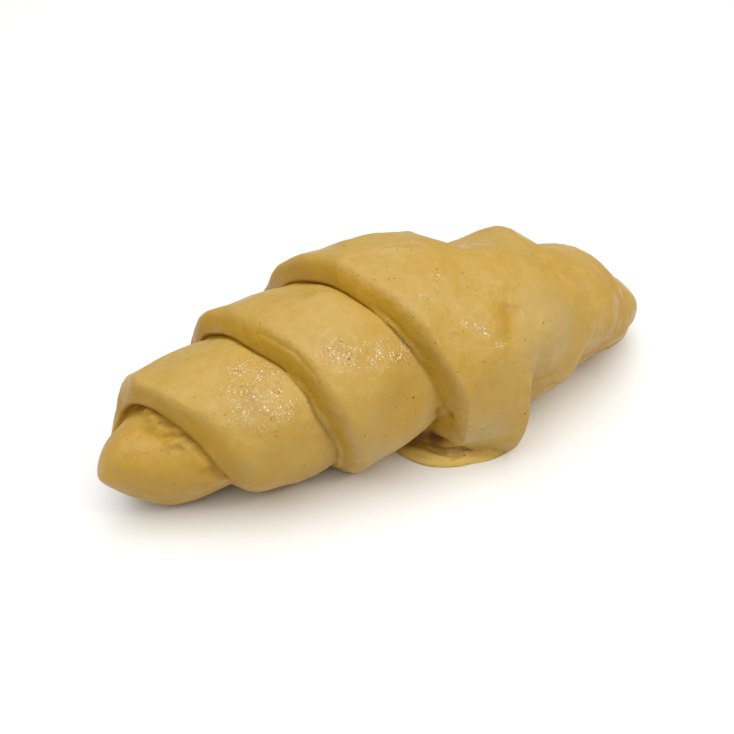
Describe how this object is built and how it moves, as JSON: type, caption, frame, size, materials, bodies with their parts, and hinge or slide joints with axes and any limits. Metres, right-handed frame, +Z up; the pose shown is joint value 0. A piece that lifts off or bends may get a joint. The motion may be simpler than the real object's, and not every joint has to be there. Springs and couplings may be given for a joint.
{
  "type": "unbaked chocolate croissant",
  "caption": "Raw croissant dough rolled into stepped turns that taper to two rounded tips, resting on a flat underside, to be proved and baked.",
  "frame": {"origin": "middle of the croissant's box at the table it rests on", "axes": "+X along the roll from the near tip to the far tip, +Z up, and the shown front towards -Y"},
  "size_m": [0.127, 0.051, 0.0397],
  "materials": {
    "dough": "satin raw dough, slightly moist"
  },
  "bodies": {
    "root": {"dough": "dough"}
  },
  "joints": []
}
